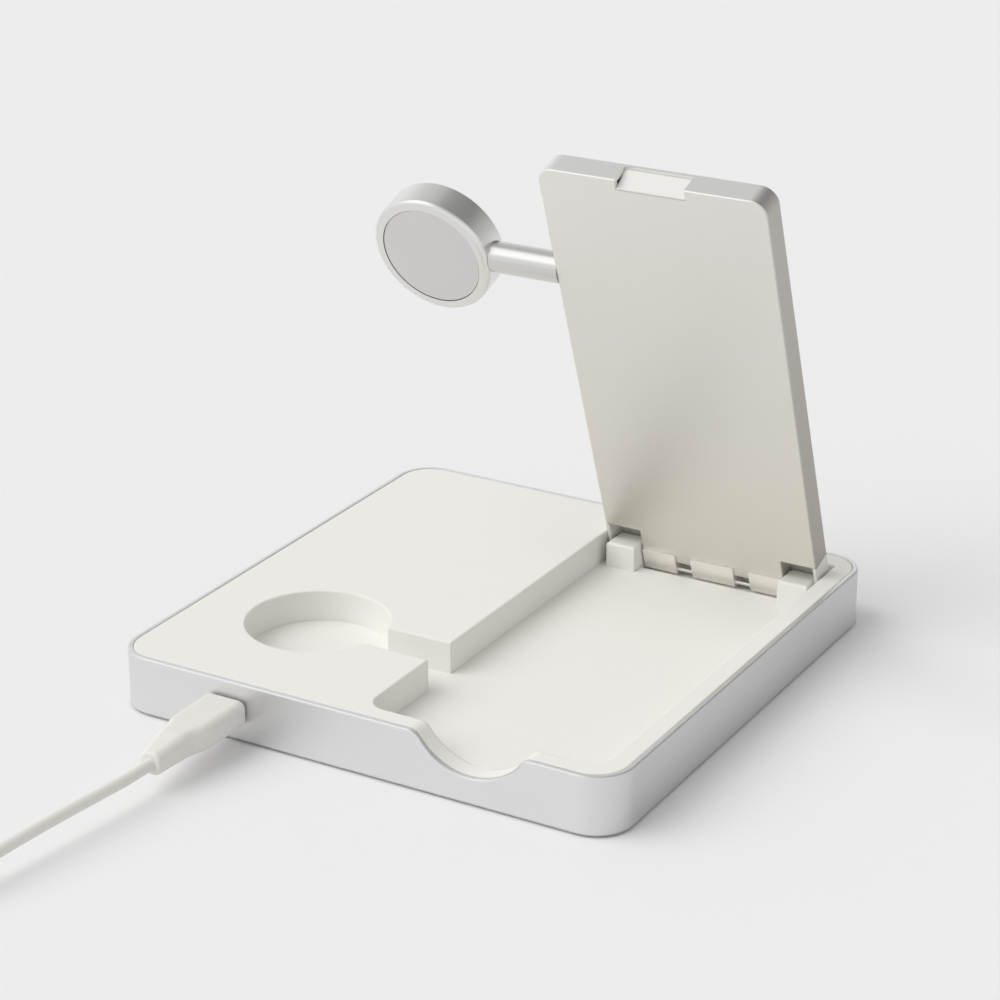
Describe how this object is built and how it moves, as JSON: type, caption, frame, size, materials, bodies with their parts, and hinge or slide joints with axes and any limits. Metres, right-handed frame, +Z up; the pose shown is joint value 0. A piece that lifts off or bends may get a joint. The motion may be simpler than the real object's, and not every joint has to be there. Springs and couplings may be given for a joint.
{
  "type": "three-in-one wireless charger",
  "caption": "Flat square wireless charger with a metal band, a fold-up phone panel that stows in a well, a watch puck on a rod and a plugged USB-C cable.",
  "frame": {"origin": "centre of the base's footprint, on the surface that it stands on", "axes": "+X along the cable side, +Y from the cable side to the hinge side, +Z up; the panel is open at its stop"},
  "size_m": [0.1585, 0.2928, 0.1205],
  "materials": {
    "band_metal": "satin",
    "panel_metal": "satin",
    "polished_metal": "polished",
    "white_plastic": "fine satin",
    "charge_face": "gloss",
    "cable_white": "matt",
    "tie": "matt",
    "foot_rubber": "matt",
    "steel": "plain",
    "board": "satin",
    "copper": "lacquered wire",
    "ferrite": "matt",
    "magnet": "nickel plated"
  },
  "bodies": {
    "base": {"base_band": "band_metal", "top_deck": "white_plastic", "bottom_cover": "white_plastic", "hinge_pin": "steel", "main_board": "board", "usb_board": "board", "usb_c_socket": "steel", "earbud_coil": "copper", "earbud_ferrite": "ferrite", "plug_shell": "steel", "plug_grip": "cable_white", "plug_relief": "cable_white", "cable": "cable_white", "cable_coil": "cable_white", "cable_tie": "tie", "cable_tail": "cable_white", "far_relief": "cable_white", "far_grip": "cable_white", "far_shell": "steel", "foot_1": "foot_rubber", "cover_screw_1": "steel", "foot_2": "foot_rubber", "cover_screw_2": "steel", "foot_3": "foot_rubber", "cover_screw_3": "steel", "foot_4": "foot_rubber", "cover_screw_4": "steel"},
    "panel": {"panel_tray": "panel_metal", "panel_cover": "white_plastic", "hinge_knuckles": "panel_metal", "magnet_ring": "magnet", "phone_coil": "copper", "phone_ferrite": "ferrite", "panel_board": "board", "arm_clamp": "panel_metal", "puck_arm": "polished_metal", "puck_housing": "panel_metal", "puck_back_disc": "panel_metal", "puck_charge_face": "charge_face", "puck_coil": "copper", "puck_ferrite": "ferrite", "puck_magnet": "magnet"}
  },
  "joints": [
    {"name": "panel_fold", "type": "hinge", "parent": "base", "child": "panel", "pos_m": [0.0296, 0.05479, 0.0108], "axis": [1, 0, 0], "range_deg": [0, 70]}
  ]
}
